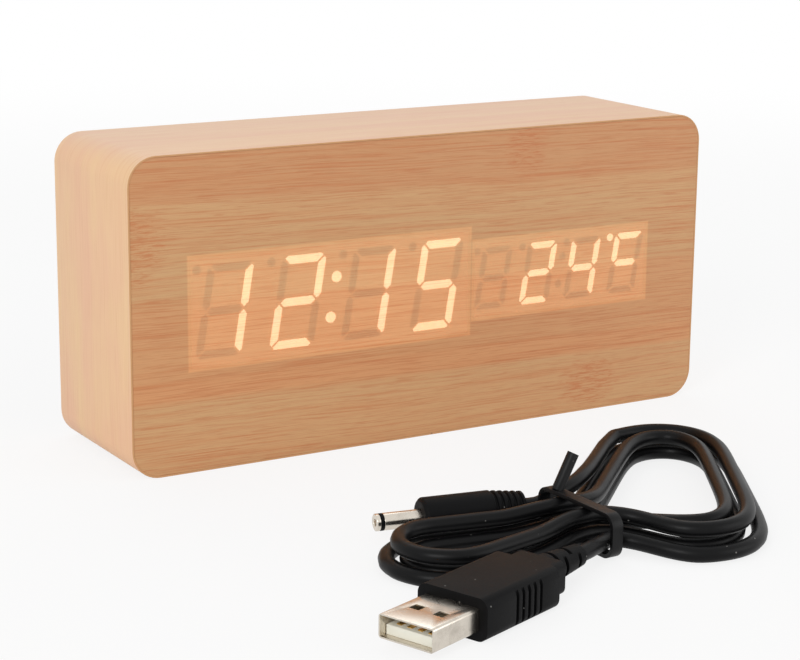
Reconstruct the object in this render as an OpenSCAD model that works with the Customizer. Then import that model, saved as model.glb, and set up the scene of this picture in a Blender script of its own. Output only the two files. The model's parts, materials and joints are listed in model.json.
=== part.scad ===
// Desk clock in a wood-look box with a lit time and temperature display, and its supply lead.
// Millimetres, +Z up, the display faces -Y, origin on the table under the middle of the box.

/* [Case] */
// Width of the box
case_w = 150; // [148:1:170]
// Depth of the box, front to back
case_d = 40; // [39:1:50]
// Height of the box
case_h = 70; // [68:1:90]
// Radius of the four rounded corners
corner_r = 6.5; // [5:0.5:10]
// Thickness of the box wall
wall = 7; // [5:0.5:8]
// Thickness of the wood-grain film
film_t = 0.4; // [0.3:0.1:0.6]
// Thickness of the front board and of the back board
board_t = 3; // [2.5:0.5:4]
// Width of the ledge that the front board is glued on
ledge = 3; // [2:0.5:4]
// Depth that the back board lies below the rear edge
back_recess = 1.6; // [1.4:0.1:2.5]
// Side of the square corner blocks
block_s = 8; // [7:0.5:9]

/* [Display] */
// Height of the middle of the display above the middle of the box
display_lift = 0.3; // [-1:0.1:1]
// Room between the left wall of the box and the time module
left_room = 6; // [5.8:0.1:8]
// Room between the temperature module and the right wall of the box
right_room = 7.2; // [5.8:0.1:9]
// Share of the width of the display that the time module takes
time_share = 0.5877; // [0.52:0.0001:0.64]
// Height of the time module
time_h = 25.5; // [24:0.1:28]
// Height of the temperature module
temp_h = 19.2; // [17:0.1:25]
// Depth of both modules
module_d = 8; // [6:0.5:9]
// Distance between the upright bars of a time digit, as a share of its room
time_reach = 0.514; // [0.44:0.002:0.56]
// Distance between the level bars of a time digit
time_row = 9.4; // [8:0.1:10]
// Breadth of a bar of a time digit
time_bar = 1.8; // [1.4:0.1:2.2]
// Distance between the upright bars of a temperature digit, as a share of its room
temp_reach = 0.542; // [0.46:0.002:0.57]
// Distance between the level bars of a temperature digit
temp_row = 6.5; // [5.5:0.1:7]
// Breadth of a bar of a temperature digit
temp_bar = 1.5; // [1:0.1:1.8]
// Lean of the digits in degrees
slant = 9.5; // [0:0.5:11]

/* [Electronics] */
// Gap between the main circuit board and the corner blocks
board_gap = 2.6; // [2:0.1:4]
// Thickness of the circuit boards
pcb_t = 1.6; // [1:0.2:2]
// Diameter of the spacers and posts
post_od = 5; // [4.5:0.1:5.5]
// Shank diameter of the board screws
screw_d = 1.9; // [1.6:0.1:2.2]
// Diameter of the backup cell
cell_d = 20; // [16:0.5:20]
// Thickness of the backup cell
cell_t = 3.2; // [2:0.1:3.6]
// Diameter of the buzzer
buzzer_d = 12; // [9:0.5:13]
// Height of the buzzer
buzzer_h = 6.5; // [5:0.5:8]

/* [Keys] */
// Gap between the key board and the right wall of the box
keys_room = 3.1; // [2.6:0.1:4]
// Share of the free length beside the battery tray that the key board leaves clear
keys_clear = 0.15; // [0.05:0.01:0.3]
// Diameter of a key cap
key_d = 6.4; // [5:0.1:7]
// Travel of a key
key_travel = 0.4; // [0.2:0.05:0.6]
// How far the keys stand out of the back board
key_proud = 1; // [0.5:0.1:1.3]
// Travel of the sound switch
switch_travel = 2; // [1.5:0.1:2.4]
// Outer diameter of the supply plug's barrel, which the socket takes
plug_d = 3.5; // [3:0.1:4]

/* [Battery bay] */
// Length of the battery bay
bay_w = 52; // [50:0.5:56]
// Gap between the battery tray and the corner blocks above and below it
tray_gap = 1; // [0.6:0.1:2]
// Depth of the battery bay
bay_d = 12.5; // [11.5:0.5:13]
// Gap between the left wall of the box and the battery tray
bay_room = 3; // [2.8:0.1:4]
// Wall of the battery tray
tray_t = 2; // [1.8:0.1:2.4]
// Width of the ledge that the battery door rests on
door_ledge = 1.2; // [1:0.1:1.4]
// Width of the rim round the battery tray
rim = 2.4; // [2.2:0.1:3]
// Thickness of the battery door
door_t = 1.6; // [1.4:0.1:2]
// Diameter of the door's hinge pins
hinge_d = 1; // [0.8:0.1:1.2]
// Wire diameter of the battery springs
spring_wire = 0.6; // [0.5:0.1:0.7]

/* [Lead] */
// Diameter of the cable
cable_d = 3.3; // [3:0.1:3.5]
// Length of the moulded grip of the large plug
grip_l = 22; // [18:1:26]
// Diameter of the grip of the small plug
dc_grip_d = 8; // [7.2:0.1:8]
// Length of the grip of the small plug
dc_body = 22; // [18:1:24]
// Length of the barrel of the small plug
barrel_l = 9.5; // [8:0.5:11]
// Width of the tie
tie_w = 2.5; // [2:0.5:4]

/* [Hidden] */
$fn = 48;

// Clearances: past a face in a cut, glued joint, running fit, loose passage, between moving pieces
cut = 1;
seam = 0.1;
fit = 0.05;
ease = 0.2;
apart = 0.3;

// Places along the depth, from the front to the back
front_y = -case_d / 2;
back_y = case_d / 2;
film_back = front_y + film_t;
board_back = film_back + board_t;
pcb_front = film_back + module_d;
pcb_back = pcb_front + pcb_t;
panel_out = back_y - back_recess - film_t;
panel_in = panel_out - board_t;
skin_out = panel_out + film_t;

// The box
mid_z = case_h / 2;
frame_w = case_w - 2 * film_t;
frame_h = case_h - 2 * film_t;
frame_r = corner_r - film_t;
inner_w = frame_w - 2 * wall;
inner_h = frame_h - 2 * wall;
ledge_r = 2;
block_x = inner_w / 2 - block_s / 2;
block_z = inner_h / 2 - block_s / 2;
corners = [[-1, -1], [1, -1], [1, 1], [-1, 1]];

// Fasteners
screw_r = screw_d / 2;
hole_r = screw_r + ease;
head_r = screw_d;
head_t = 1.2;
head_slot = [2.5, 0.5];
wood_screw_l = 12;
pin_grip = 2;

// The display
letters = "abcdefg";
digits = 4;
display_z = mid_z + display_lift;
display_w = inner_w - left_room - right_room;
time_w = time_share * display_w - seam;
temp_w = (1 - time_share) * display_w - seam;
time_x = -inner_w / 2 + left_room + time_w / 2;
temp_x = inner_w / 2 - right_room - temp_w / 2;
time_pitch = time_w / digits;
temp_pitch = temp_w / digits;
time_col = time_reach * time_pitch / 2;
temp_col = temp_reach * temp_pitch / 2;
dot_share = 0.453;
dot_r = [1, 0.9];
time_lit = ["bc", "abdeg", "bc", "acdfg"];
temp_lit = ["", "abdeg", "bcfg", "afg"];
bar_gap = 0.35;
chamfer_share = 0.3;
segment_t = 0.8;
time_dot = [-dot_share * time_pitch, time_row, dot_r[0]];
temp_dot = [-dot_share * temp_pitch, temp_row, dot_r[1]];
time_colon = [0, 4.55, 1.25];
temp_colon = [0, 3.25, 0.9];
degree_digit = 3;
pin_r = 0.25;
pin_pitch = 2.54;
pin_count = 8;
pin_z = 6;
pin_proud = 0.8;

// The main circuit board
pcb_h = inner_h - 2 * (block_s + board_gap);
spacer_strip = post_od + 2 * seam;
pcb_x0 = time_x - time_w / 2 - spacer_strip;
pcb_x1 = temp_x + temp_w / 2 + spacer_strip;
spacer_inset = 4;
spacer_x = [pcb_x0 + spacer_strip / 2, pcb_x1 - spacer_strip / 2];
spacer_z = pcb_h / 2 - spacer_inset;
spacers = [for (x = spacer_x, s = [-1, 1]) [x, display_z + s * spacer_z]];
chip = [18, 7.5, 2.3];
driver = [10, 4, 1.6];
leg = [0.4, 1.2, 0.3];
leg_pitch = 1.27;
chip_at = [-5, 9.5];
driver_at = [14, 9];
crystal_at = [-8, -4];
crystal_r = 1.5;
crystal_l = 8;
can_r = 2.5;
can_h = 7;
can_in = [[24.8, 9], [17.8, 9]];
can_at = [for (c = can_in) [pcb_x0 + c[0], c[1]]];
buzzer_in = [12.6, 3];
buzzer_at = [pcb_x1 - buzzer_in[0], buzzer_in[1]];
buzzer_hole_r = 1;
cell_at = [10, -5.5];
mic_in = [15.6, -10];
mic_at = [pcb_x1 - mic_in[0], mic_in[1]];
mic_r = 3;
mic_h = 3.5;
bead_in = [4.1, -4];
bead_at = [pcb_x1 - bead_in[0], bead_in[1]];
bead_r = 1.2;
bead_stand = 3;
holder_t = 1;

// The battery bay
bay_z = mid_z;
tray_w = bay_w + 2 * tray_t;
tray_h = inner_h - 2 * (block_s + tray_gap);
bay_h = tray_h - 2 * tray_t;
bay_x = -inner_w / 2 + bay_room + tray_w / 2;
rim_t = 1;
rim_out = skin_out + rim_t;
door_in = rim_out - door_t;
bay_floor = door_in - bay_d;
tray_floor = bay_floor - tray_t;
hinge_r = hinge_d / 2;
hinge_y = rim_out - door_t / 2;
hinge_z = bay_z - bay_h / 2 - door_ledge + apart + door_t / 2;
pin_l = 0.7;
pin_reach = apart + pin_l - seam;
grip_count = 3;
grip_top = 3;
grip_pitch = 1.2;
grip_w = 14;
grip_deep = 0.3;
cell_y = bay_floor + bay_d / 2;
cell_rows = [-1, 0, 1];
row_pitch = bay_h / 3;
spring_turns = 4;
spring_l = 6;
spring_r0 = 3.4;
spring_r1 = 2;
spring_rings = 8;
spring_sides = 6;
gap_samples = 4;
row_gap = 2;
plate = [0.4, 8, row_pitch - row_gap];
nub_r = 2.6;
nub_h = 0.8;
wire_d = 1.3;
wire_in = [23, 17];
wire_x = [for (d = wire_in) bay_x - d];
wire_z = 6;
wire_bow = [2, 1.5];
wire_sides = 8;

// The key board
key_count = 3;
key_z = display_z;
tact = [6, 6, 3.5];
plunger_r = 1.7;
stem = 1;
flange_t = 1.2;
flange_lip = 1;
flange_r = key_d / 2 + flange_lip;
key_edge = 0.4;
flange_out = panel_in - apart;
flange_in = flange_out - flange_t;
tact_out = flange_in - stem;
keyb_back = tact_out - tact[2];
keyb_front = keyb_back - pcb_t;
switch_size = [9, 4, tact[2]];
knob = [2, 1.6];
slide_base = [4.2, 2.4, 1];
socket_w = 6.6;
keyb_h = 16;
post_clear = 1;
switch_clear = 1.5;
keyb_before = post_od + ease + flange_r + post_clear;
keyb_after = post_od + ease + socket_w / 2 + post_clear;
switch_step = tact[0] / 2 + switch_size[0] / 2 + switch_clear;
socket_step = switch_size[0] / 2 + socket_w / 2 + ease;
keyb_x1 = inner_w / 2 - keys_room;
socket_x = keyb_x1 - keyb_after;
switch_x = socket_x - socket_step;
free_w = switch_x - switch_step - keyb_before - (bay_x + tray_w / 2);
key_pitch = free_w * (1 - keys_clear) / (key_count - 1);
key_x = switch_x - switch_step - (key_count - 1) * key_pitch;
keyb_x0 = key_x - keyb_before;
keypost_x = [keyb_x0 + post_od / 2 + ease, keyb_x1 - post_od / 2 - ease];
socket_nose_r = 3.1;
socket_proud = 0.6;
socket_out = skin_out + socket_proud;
socket_l = 8.5;
pin_d = 1.3;
pin_set_back = 1.5;
ribbon_in = 28.5;
ribbon_x = keyb_x1 - ribbon_in;
ribbon_plug = [5, 8, 3.5];
ribbon_w = 6;
ribbon_t = 0.8;
ribbon_bow = 3;
ribbon_steps = 12;

// The lead: its hank, and the large plug along X from its cable to its tip
grip = [grip_l, 15.4, 8];
hank_at = [-15, -97, 0];
hank_turn = 2;
hank_loops = 4;
side_gap = 0.9;
layer_gap = 0.5;
hank_step = cable_d + side_gap;
hank_layer = cable_d + layer_gap;
waist_half = 0.9;
waist_run = 3;
waist_bend = 12;
near_r = 6;
far_r = 6.3;
left_r = 6.2;
front_turn = 79;
rear_turn = 42;
side_turn = 57;
side_run = 49;
left_turn = 12;
climb_mid = 3;
climb_rings = 5;
first_ring = 2;
last_ring = 13;
cable_sides = 6;
usb_exit = [-11, -16.2, grip[2] / 2];
usb_turn = 18.5;
usb_tail = [[-5.5, -14, 3.9], [-1.5, -11.9, 3.5]];
dc_exit = [-2.8, 13.1, dc_grip_d / 2];
dc_turn = -12;
dc_tail = [[25, 25.1, 5.9], [14, 16, 6.3], [6.5, 12.5, 5.6]];
tie_lift = 1.3;
hump_half = 14;
tie_ring = 16;
tie_t = 0.8;
tie_r = 2;
tie_end_v = 5;
tie_end = [2.4, 8];
tie_lean = 28;
relief_l = 12;
relief_r0 = 2.2;
relief_r1 = 3.2;
neck = [5, 11, 6.5];
neck_r = 1.5;
grip_r = 2;
body_end = relief_l + neck[0] + grip[0];
shell = [13, 12, 4.5];
shell_t = 0.3;
shell_r = 0.6;
shell_in = 4;
catch_at = 6.5;
catch_y = 2.6;
catch_s = 2.2;
tongue = [11.5, 11, 1.9];
contact = [7, 1, 0.2];
contact_in = 3.5;
contact_pitch = 2.3;
contact_count = 4;
groove_count = 5;
groove_at = 9;
groove_pitch = 1.8;
groove_w = 0.8;
groove_deep = 0.5;
slot_count = 4;
slot_at = 2.4;
slot_pitch = 2.4;
slot_w = 1;
slot_core = 1.8;

// The small plug, along X from its cable to its tip
collar = 0.8;
barrel_in = 3;
barrel_end = dc_body + barrel_l - 2 * collar;
barrel_bore = 1.3;
sleeve_r = 1;
dc_taper = 0.8;
dc_edge = 0.6;
rib_count = 5;
rib_pitch = 1.4;
rib_deep = 0.5;
rib_land = 1;

// Cuts a length of a level outline, drawn as seen from the front, between two depths
module between(y0, y1) {
    translate([0, y1, 0]) rotate([90, 0, 0]) linear_extrude(y1 - y0) children();
}

// Round bar along the depth
module rod(x, z, r, y0, y1) {
    translate([x, y0, z]) rotate([-90, 0, 0]) cylinder(r = r, h = y1 - y0);
}

// Box given by its middle across and up, its size across and up, and two depths
module block(x, z, w, h, y0, y1) {
    translate([x - w / 2, y0, z - h / 2]) cube([w, y1 - y0, h]);
}

// Outline of a rectangle with round corners about the origin
module rounded(w, h, r) {
    square([w - 2 * r, h], center = true);
    square([w, h - 2 * r], center = true);
    for (c = corners) translate([c[0] * (w / 2 - r), c[1] * (h / 2 - r)]) circle(r);
}

// The same outline at the middle of the box
module rounded_case(w, h, r) {
    translate([0, mid_z]) rounded(w, h, r);
}

// Pale film round both ends, the top and the bottom, turned in over the rear edge
module side_wrap() {
    color("burlywood") difference() {
        between(front_y, back_y) rounded_case(case_w, case_h, corner_r);
        between(front_y - cut, back_y - film_t) rounded_case(frame_w, frame_h, frame_r);
        block(0, mid_z, inner_w, inner_h, front_y, back_y + cut);
    }
}

// Film on the front, with a hairline seam to the wrap
module front_film() {
    color("peru") between(front_y, film_back)
        rounded_case(frame_w - 2 * seam, frame_h - 2 * seam, frame_r - seam);
}

// Fibreboard ring that carries everything
module case_frame() {
    color("tan") difference() {
        between(film_back, back_y - film_t) rounded_case(frame_w, frame_h, frame_r);
        block(0, mid_z, inner_w, inner_h, front_y, back_y);
        between(film_back - cut, board_back)
            rounded_case(inner_w + 2 * ledge, inner_h + 2 * ledge, ledge_r);
    }
}

// Board behind the front film, with the window for both modules
module front_board() {
    grow = 2 * seam;
    color("tan") difference() {
        between(film_back, board_back)
            rounded_case(inner_w + 2 * ledge - grow, inner_h + 2 * ledge - grow, ledge_r - seam);
        block(time_x, display_z, time_w + grow, time_h + grow, front_y, board_back + cut);
        block(temp_x, display_z, temp_w + grow, temp_h + grow, front_y, board_back + cut);
        for (at = spacers) rod(at[0], at[1], screw_r + fit, board_back - pin_grip, board_back + cut);
    }
}

// Four posts in the corners that the back board is screwed to
module corner_blocks() {
    color("tan") for (c = corners) difference() {
        block(c[0] * block_x, mid_z + c[1] * block_z, block_s, block_s, board_back, panel_in);
        rod(c[0] * block_x, mid_z + c[1] * block_z, screw_r + fit, panel_out - wood_screw_l - cut, back_y);
    }
}

// Outline of everything that the back board lets through
module back_cuts(y0, y1) {
    block(bay_x, bay_z, tray_w + 2 * ease, tray_h + 2 * ease, y0, y1);
    for (i = [0:key_count - 1]) rod(key_x + i * key_pitch, key_z, key_d / 2 + apart, y0, y1);
    block(switch_x, key_z, knob[0] + switch_travel + 2 * apart, knob[1] + 2 * apart, y0, y1);
    rod(socket_x, key_z, socket_nose_r + ease, y0, y1);
    for (c = corners) rod(c[0] * block_x, mid_z + c[1] * block_z, hole_r, y0, y1);
}

// Board that closes the back
module back_board() {
    color("tan") difference() {
        block(0, mid_z, inner_w - 2 * seam, inner_h - 2 * seam, panel_in, panel_out);
        back_cuts(panel_in - cut, panel_out + cut);
        for (x = keypost_x) rod(x, key_z, screw_r + fit, panel_in - cut, panel_in + pin_grip);
    }
}

// Black film on the back board
module back_film() {
    color("dimgray") difference() {
        block(0, mid_z, inner_w - 2 * seam, inner_h - 2 * seam, panel_out, skin_out);
        back_cuts(panel_out - cut, skin_out + cut);
    }
}

// Pan-head screw along the depth: the head seat, and +1 or -1 for the way its head faces
module pan_screw(x, z, seat, length, way) {
    translate([x, seat, z]) rotate([-90 * way, 0, 0]) difference() {
        union() {
            cylinder(r = head_r, h = head_t);
            translate([0, 0, -length]) cylinder(r = screw_r, h = length);
        }
        for (a = [0, 90]) rotate([0, 0, a]) translate([0, 0, head_t])
            cube([head_slot[0], head_slot[1], 2 * head_slot[1]], center = true);
    }
}

module back_screws() {
    color("silver") for (c = corners)
        pan_screw(c[0] * block_x, mid_z + c[1] * block_z, skin_out, wood_screw_l, 1);
}

// Outlines of the seven bars of a digit about its middle: half column, row, breadth, gap, chamfer
function level_bar(c, h, t, s, m) = [
    [-(c - t / 2 - s), h - t / 2], [c - t / 2 - s, h - t / 2], [c + (m - s) / 2, h + (m + s) / 2],
    [c + m - t / 2, h + t / 2], [-(c + m - t / 2), h + t / 2], [-(c + (m - s) / 2), h + (m + s) / 2]
];
function upright_bar(c, h, t, s, m) = [
    [c - t / 2, h - t / 2 - s], [c + (m + s) / 2, h + (m - s) / 2], [c + t / 2, h + m - t / 2],
    [c + t / 2, t / 2 + s], [c, s], [c - t / 2, t / 2 + s]
];
function middle_bar(c, t, s) = [
    [-(c - s), 0], [-(c - s - t / 2), t / 2], [c - s - t / 2, t / 2],
    [c - s, 0], [c - s - t / 2, -t / 2], [-(c - s - t / 2), -t / 2]
];
function flip(points, sx, sz) = [for (p = points) [sx * p[0], sz * p[1]]];
function bar(k, c, h, t, s) =
    let (m = chamfer_share * t)
    k == "a" ? level_bar(c, h, t, s, m) :
    k == "b" ? upright_bar(c, h, t, s, m) :
    k == "c" ? flip(upright_bar(c, h, t, s, m), 1, -1) :
    k == "d" ? flip(level_bar(c, h, t, s, m), 1, -1) :
    k == "e" ? flip(upright_bar(c, h, t, s, m), -1, -1) :
    k == "f" ? flip(upright_bar(c, h, t, s, m), -1, 1) :
    middle_bar(c, t, s);
function lean(p) = [p[0] + p[1] * tan(slant), p[1]];
function has(k, word) = len(search(k, word)) > 0;

// The bars of one digit that are lit, or those that are not, grown for their wells
module digit(x, col, row, breadth, word, on, grow) {
    for (k = letters) if (has(k, word) == on) translate([x, display_z])
        polygon([for (p = bar(k, col, row, breadth + 2 * grow, bar_gap - grow)) lean(p)]);
}

module dot(x, at, grow) {
    translate([x, display_z] + lean([at[0], at[1]])) circle(at[2] + grow);
}

module colon(x, at, grow) {
    for (s = [-1, 1]) dot(x, [at[0], s * at[1], at[2]], grow);
}

module time_face(on, grow) {
    for (i = [0:digits - 1]) {
        x = time_x + (i - (digits - 1) / 2) * time_pitch;
        digit(x, time_col, time_row, time_bar, time_lit[i], on, grow);
        if (!on) dot(x, time_dot, grow);
    }
    if (on) colon(time_x, time_colon, grow);
}

module temp_face(on, grow) {
    for (i = [0:digits - 1]) {
        x = temp_x + (i - (digits - 1) / 2) * temp_pitch;
        digit(x, temp_col, temp_row, temp_bar, temp_lit[i], on, grow);
        if ((i == degree_digit) == on) dot(x, temp_dot, grow);
    }
    if (!on) colon(temp_x, temp_colon, grow);
}

module time_module() {
    color("dimgray") difference() {
        block(time_x, display_z, time_w, time_h, film_back, pcb_front);
        between(film_back - cut, film_back + segment_t) {
            time_face(true, fit);
            time_face(false, fit);
        }
    }
}

module time_segments_lit() {
    color("moccasin") between(film_back, film_back + segment_t) time_face(true, 0);
}

module time_segments_unlit() {
    color("darkgray") between(film_back, film_back + segment_t) time_face(false, 0);
}

module temp_module() {
    color("dimgray") difference() {
        block(temp_x, display_z, temp_w, temp_h, film_back, pcb_front);
        between(film_back - cut, film_back + segment_t) {
            temp_face(true, fit);
            temp_face(false, fit);
        }
    }
}

module temp_segments_lit() {
    color("moccasin") between(film_back, film_back + segment_t) temp_face(true, 0);
}

module temp_segments_unlit() {
    color("darkgray") between(film_back, film_back + segment_t) temp_face(false, 0);
}

// Both rows of solder pins of both modules
module pin_rows(r, y0, y1) {
    for (x = [time_x, temp_x], s = [-1, 1], i = [0:pin_count - 1])
        rod(x + (i - (pin_count - 1) / 2) * pin_pitch, display_z + s * pin_z, r, y0, y1);
}

module display_pins() {
    color("silver") pin_rows(pin_r, pcb_front, pcb_back + pin_proud);
}

module main_board() {
    color("darkgreen") difference() {
        block((pcb_x0 + pcb_x1) / 2, display_z, pcb_x1 - pcb_x0, pcb_h, pcb_front, pcb_back);
        pin_rows(pin_r + fit, pcb_front - cut, pcb_back + cut);
        for (at = spacers) rod(at[0], at[1], hole_r, pcb_front - cut, pcb_back + cut);
    }
}

// Tube that a screw passes through
module sleeve(x, z, y0, y1) {
    difference() {
        rod(x, z, post_od / 2, y0, y1);
        rod(x, z, hole_r, y0 - cut, y1 + cut);
    }
}

module board_spacers() {
    color("ivory") for (at = spacers) sleeve(at[0], at[1], board_back, pcb_front);
}

module board_screws() {
    length = pcb_back - board_back + pin_grip - ease;
    color("silver") for (at = spacers) pan_screw(at[0], at[1], pcb_back, length, 1);
}

// Chip on the rear of the main board, with a row of legs on both long sides
module chip_with_legs(at, size) {
    count = floor(size[0] / leg_pitch);
    z = display_z + at[1];
    block(at[0], z, size[0], size[1], pcb_back + leg[2], pcb_back + size[2]);
    for (s = [-1, 1], i = [0:count - 1])
        block(at[0] + (i - (count - 1) / 2) * leg_pitch, z + s * size[1] / 2, leg[0], 2 * leg[1],
            pcb_back, pcb_back + 2 * leg[2]);
}

module controller_chip() {
    color("black") chip_with_legs(chip_at, chip);
}

module driver_chip() {
    color("black") chip_with_legs(driver_at, driver);
}

// Round can that lies on the board, on its two leads
module crystal() {
    z = display_z + crystal_at[1];
    color("silver") translate([crystal_at[0] - crystal_l / 2, pcb_back + crystal_r, z])
        rotate([0, 90, 0]) cylinder(r = crystal_r, h = crystal_l);
}

module capacitors() {
    color("midnightblue") for (at = can_at)
        rod(at[0], display_z + at[1], can_r, pcb_back, pcb_back + can_h);
}

// Cup that holds the backup cell, open at the rear
module coin_cell_holder() {
    z = display_z + cell_at[1];
    color("black") difference() {
        rod(cell_at[0], z, cell_d / 2 + holder_t, pcb_back, pcb_back + holder_t + cell_t);
        rod(cell_at[0], z, cell_d / 2 + fit, pcb_back + holder_t, pcb_back + holder_t + cell_t + cut);
    }
}

module coin_cell() {
    y = pcb_back + holder_t;
    color("silver") rod(cell_at[0], display_z + cell_at[1], cell_d / 2, y, y + cell_t);
}

module buzzer() {
    z = display_z + buzzer_at[1];
    color("black") difference() {
        rod(buzzer_at[0], z, buzzer_d / 2, pcb_back, pcb_back + buzzer_h);
        rod(buzzer_at[0], z, buzzer_hole_r, pcb_back + buzzer_h / 2, pcb_back + buzzer_h + cut);
    }
}

module microphone() {
    color("gainsboro") rod(mic_at[0], display_z + mic_at[1], mic_r, pcb_back, pcb_back + mic_h);
}

module thermistor() {
    z = display_z + bead_at[1];
    color("black") {
        translate([bead_at[0], pcb_back + bead_stand, z]) sphere(bead_r);
        for (s = [-1, 1]) rod(bead_at[0] + s * bead_r / 2, z, pin_r, pcb_back, pcb_back + bead_stand);
    }
}

module key_board() {
    color("darkgreen") difference() {
        block((keyb_x0 + keyb_x1) / 2, key_z, keyb_x1 - keyb_x0, keyb_h, keyb_front, keyb_back);
        for (x = keypost_x) rod(x, key_z, hole_r, keyb_front - cut, keyb_back + cut);
    }
}

module key_posts() {
    color("ivory") for (x = keypost_x) sleeve(x, key_z, keyb_back, panel_in);
}

module key_screws() {
    length = panel_in - keyb_front + pin_grip - ease;
    color("silver") for (x = keypost_x) pan_screw(x, key_z, keyb_front, length, -1);
}

module tact_switches() {
    well = tact_out - stem - key_travel - apart;
    color("dimgray") for (i = [0:key_count - 1]) difference() {
        block(key_x + i * key_pitch, key_z, tact[0], tact[1], keyb_back, tact_out);
        rod(key_x + i * key_pitch, key_z, plunger_r + fit, well, tact_out + cut);
    }
}

module plunger(i) {
    rod(key_x + i * key_pitch, key_z, plunger_r, tact_out - stem, flange_in);
}

module set_plunger() {
    color("black") plunger(0);
}

module up_plunger() {
    color("black") plunger(1);
}

module down_plunger() {
    color("black") plunger(2);
}

// Key cap with a flange that the back board keeps in
module button(i) {
    r = key_d / 2;
    top = skin_out + key_proud - flange_in;
    translate([key_x + i * key_pitch, flange_in, key_z]) rotate([-90, 0, 0]) rotate_extrude()
        polygon([
            [0, 0], [flange_r, 0], [flange_r, flange_t], [r, flange_t],
            [r, top - key_edge], [r - key_edge, top], [0, top]
        ]);
}

module set_button() {
    color("dimgray") button(0);
}

module up_button() {
    color("dimgray") button(1);
}

module down_button() {
    color("dimgray") button(2);
}

module sound_switch_body() {
    color("silver") difference() {
        block(switch_x, key_z, switch_size[0], switch_size[1], keyb_back, tact_out);
        block(switch_x, key_z, slide_base[0] + switch_travel + 2 * apart, slide_base[1] + 2 * apart,
            tact_out - slide_base[2] - apart, tact_out + cut);
    }
}

module sound_slider() {
    x = switch_x - switch_travel / 2;
    color("black") {
        block(x, key_z, slide_base[0], slide_base[1], tact_out - slide_base[2], tact_out);
        block(x, key_z, knob[0], knob[1], tact_out - slide_base[2], skin_out + key_proud);
    }
}

module dc_socket() {
    color("black") difference() {
        union() {
            block(socket_x, key_z, socket_w, socket_w, keyb_back, flange_out);
            rod(socket_x, key_z, socket_nose_r, keyb_back + stem, socket_out);
        }
        rod(socket_x, key_z, plug_d / 2 + seam, socket_out - socket_l, socket_out + cut);
    }
}

module dc_socket_pin() {
    color("silver") rod(socket_x, key_z, pin_d / 2, socket_out - socket_l, socket_out - pin_set_back);
}

// Tray for three cells, with its rim on the back board and a seat for the door
module battery_tray() {
    seat_w = bay_w + 2 * door_ledge;
    seat_h = bay_h + 2 * door_ledge;
    color("black") difference() {
        union() {
            block(bay_x, bay_z, tray_w, tray_h, tray_floor, rim_out);
            block(bay_x, bay_z, tray_w + 2 * rim, tray_h + 2 * rim, skin_out, rim_out);
        }
        block(bay_x, bay_z, bay_w, bay_h, bay_floor, rim_out + cut);
        block(bay_x, bay_z, seat_w, seat_h, door_in - seam, rim_out + cut);
        translate([bay_x - seat_w / 2 - pin_l, hinge_y, hinge_z]) rotate([0, 90, 0])
            cylinder(r = hinge_r + fit, h = seat_w + 2 * pin_l);
    }
}

// Door that swings out about its round lower edge
module battery_door() {
    w = bay_w + 2 * (door_ledge - apart);
    top = bay_z + bay_h / 2 + door_ledge - apart;
    color("black") difference() {
        union() {
            translate([bay_x - w / 2, door_in, hinge_z]) cube([w, door_t, top - hinge_z]);
            translate([bay_x - w / 2, hinge_y, hinge_z]) rotate([0, 90, 0]) cylinder(r = door_t / 2, h = w);
            translate([bay_x - w / 2 - pin_reach, hinge_y, hinge_z]) rotate([0, 90, 0])
                cylinder(r = hinge_r, h = w + 2 * pin_reach);
        }
        for (i = [0:grip_count - 1])
            block(bay_x, top - grip_top - i * grip_pitch, grip_w, grip_pitch / 2,
                rim_out - grip_deep, rim_out + cut);
    }
}

// Sweep of a round bar along a list of points, as triangles
function unit(v) = v / norm(v);
function heading(p, i) = unit(p[min(i + 1, len(p) - 1)] - p[max(i - 1, 0)]);
function square_to(n, t) = unit(n - (n * t) * t);
function normals(p, n0) = [
    for (i = 0, n = square_to(n0, heading(p, 0)); i < len(p);
        i = i + 1, n = i < len(p) ? square_to(n, heading(p, i)) : n) n
];
module sweep(p, r, sides, n0) {
    n = normals(p, n0);
    last = len(p) - 1;
    points = [
        for (i = [0:last]) let (t = heading(p, i), b = cross(t, n[i]))
            for (k = [0:sides - 1]) let (a = 360 * k / sides) p[i] + r * (cos(a) * n[i] + sin(a) * b)
    ];
    walls = [
        for (i = [0:last - 1], k = [0:sides - 1])
            let (a = i * sides + k, b = i * sides + (k + 1) % sides)
                each [[a, a + sides, b], [b, a + sides, b + sides]]
    ];
    ends = [
        for (k = [1:sides - 2]) each [[0, k, k + 1], [last * sides, last * sides + k + 1, last * sides + k]]
    ];
    polyhedron(points = points, faces = concat(walls, ends));
}

// Least gap of a swept bar to itself: nearest points that lie far apart along it
function between_points(p, n) = [
    for (i = [0:len(p) - 2], k = [0:n - 1]) p[i] + (p[i + 1] - p[i]) * k / n
];
function run_length(p) = [
    for (i = 0, s = 0; i < len(p); i = i + 1, s = i < len(p) ? s + norm(p[i] - p[i - 1]) : s) s
];
function least_gap(p, r, skip) =
    let (q = between_points(p, gap_samples), s = run_length(q), last = len(q) - 1)
    min([for (i = [0:last - 1], j = [i + 1:last]) if (s[j] - s[i] > skip) norm(q[i] - q[j])]) - 2 * r;

// One battery spring about the X axis: it stands on its plate and narrows towards the cell
function spring_path() = let (steps = spring_turns * spring_rings) concat(
    [[0, spring_r0, 0]],
    [
        for (i = [0:steps])
            let (f = i / steps, a = 360 * i / spring_rings, r = spring_r0 + (spring_r1 - spring_r0) * f)
                [spring_wire + (spring_l - spring_wire) * f, r * cos(a), r * sin(a)]
    ]
);

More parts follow.
